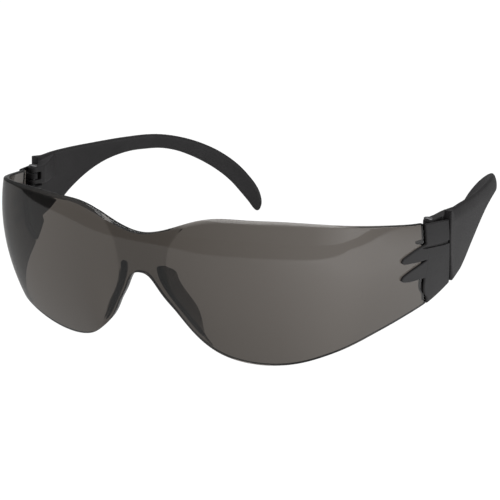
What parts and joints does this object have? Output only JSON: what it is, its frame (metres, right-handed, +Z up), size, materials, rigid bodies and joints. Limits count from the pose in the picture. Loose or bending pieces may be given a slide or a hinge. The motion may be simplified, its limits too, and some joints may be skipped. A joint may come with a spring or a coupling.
{
  "type": "safety glasses",
  "caption": "Frameless wraparound safety glasses: single grey tinted shield lens with moulded nose flanges, clawed end pieces and black folding temples hinged on steel pins.",
  "frame": {"origin": "middle of the footprint of the open glasses, on the table they stand on", "axes": "+Y from the lens towards the temple tips, +X towards the wearer's left, +Z up from the table; the glasses stand on the lower rims of the lens and the two temple tips, so the hinge pins lean back 8 degrees"},
  "size_m": [0.1494, 0.1398, 0.0457],
  "materials": {
    "tinted_lens": "polished grey-tinted polycarbonate, see-through",
    "end_piece_plastic": "satin moulded black nylon",
    "temple_plastic": "satin moulded black nylon, fine grain inside",
    "pin_steel": "plain steel pin with a low domed head"
  },
  "bodies": {
    "front": {"lens": "tinted_lens", "left_end_piece": "end_piece_plastic", "right_end_piece": "end_piece_plastic", "left_hinge_pin": "pin_steel", "right_hinge_pin": "pin_steel"},
    "left_arm": {"left_temple": "temple_plastic"},
    "right_arm": {"right_temple": "temple_plastic"}
  },
  "joints": [
    {"name": "left_fold", "type": "hinge", "parent": "front", "child": "left_arm", "pos_m": [0.0699, -0.0254, 0.02447], "axis": [0, 0.1414, 0.9899], "range_deg": [0, 88]},
    {"name": "right_fold", "type": "hinge", "parent": "front", "child": "right_arm", "pos_m": [-0.0699, -0.0254, 0.02447], "axis": [0, -0.1414, -0.9899], "range_deg": [0, 66]}
  ]
}
